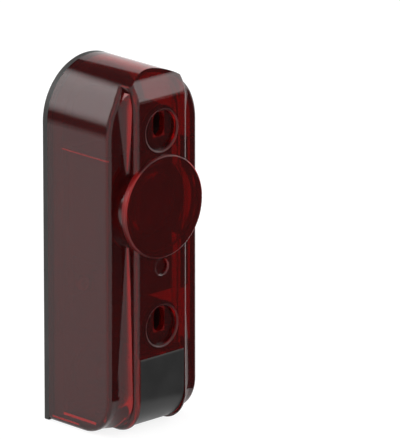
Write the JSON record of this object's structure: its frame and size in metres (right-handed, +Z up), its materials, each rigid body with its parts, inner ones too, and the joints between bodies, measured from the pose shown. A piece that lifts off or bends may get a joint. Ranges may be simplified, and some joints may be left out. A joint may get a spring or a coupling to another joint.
{
  "type": "through-beam photoelectric sensor",
  "caption": "Upright wall-mounted photoelectric sensor unit: arched dark red see-through cover with a round lens boss and screw wells on a dark base, with a black plug-in end cap.",
  "frame": {"origin": "middle of the footprint at the bottom of the housing", "axes": "+Z up, +Y to the wall behind the base, -Y the way the lens faces, +X to the right as seen from the front"},
  "size_m": [0.036, 0.0334, 0.11],
  "materials": {
    "base_plastic": "fine-grained dark grey moulding",
    "cover_plastic": "polished dark red see-through moulding",
    "cap_plastic": "satin black moulding",
    "seal_rubber": "matt black rubber",
    "grommet_rubber": "matt dark grey rubber",
    "hood_plastic": "matt black moulding that keeps stray light out",
    "lens_plastic": "clear polished moulding",
    "diode_resin": "dark tinted resin",
    "board_laminate": "green coated laminate",
    "tinned_metal": "tinned",
    "screw_steel": "zinc plated",
    "led_resin": "milky resin",
    "terminal_plastic": "green moulding",
    "jumper_plastic": "black moulding",
    "chip_resin": "black moulded resin",
    "can_metal": "drawn aluminium",
    "resistor_ceramic": "coated ceramic"
  },
  "bodies": {
    "root": {"rear_base": "base_plastic", "perimeter_seal": "seal_rubber", "well_seals": "seal_rubber", "cable_grommet": "grommet_rubber", "front_cover": "cover_plastic", "marker_cap": "cap_plastic", "circuit_board": "board_laminate", "board_screws": "screw_steel", "optics_hood": "hood_plastic", "collimator_lens": "lens_plastic", "infrared_diode": "diode_resin", "diode_leads": "tinned_metal", "status_led": "led_resin", "light_pipe": "lens_plastic", "terminal_block": "terminal_plastic", "terminal_cages": "tinned_metal", "terminal_screws": "screw_steel", "jumper_header": "jumper_plastic", "jumper_pins": "tinned_metal", "jumper_cap": "jumper_plastic", "control_chip": "chip_resin", "chip_leads": "tinned_metal", "voltage_regulator": "chip_resin", "bridge_rectifier": "chip_resin", "capacitor_base": "chip_resin", "filter_capacitor": "can_metal", "chip_resistors": "resistor_ceramic"}
  },
  "joints": []
}
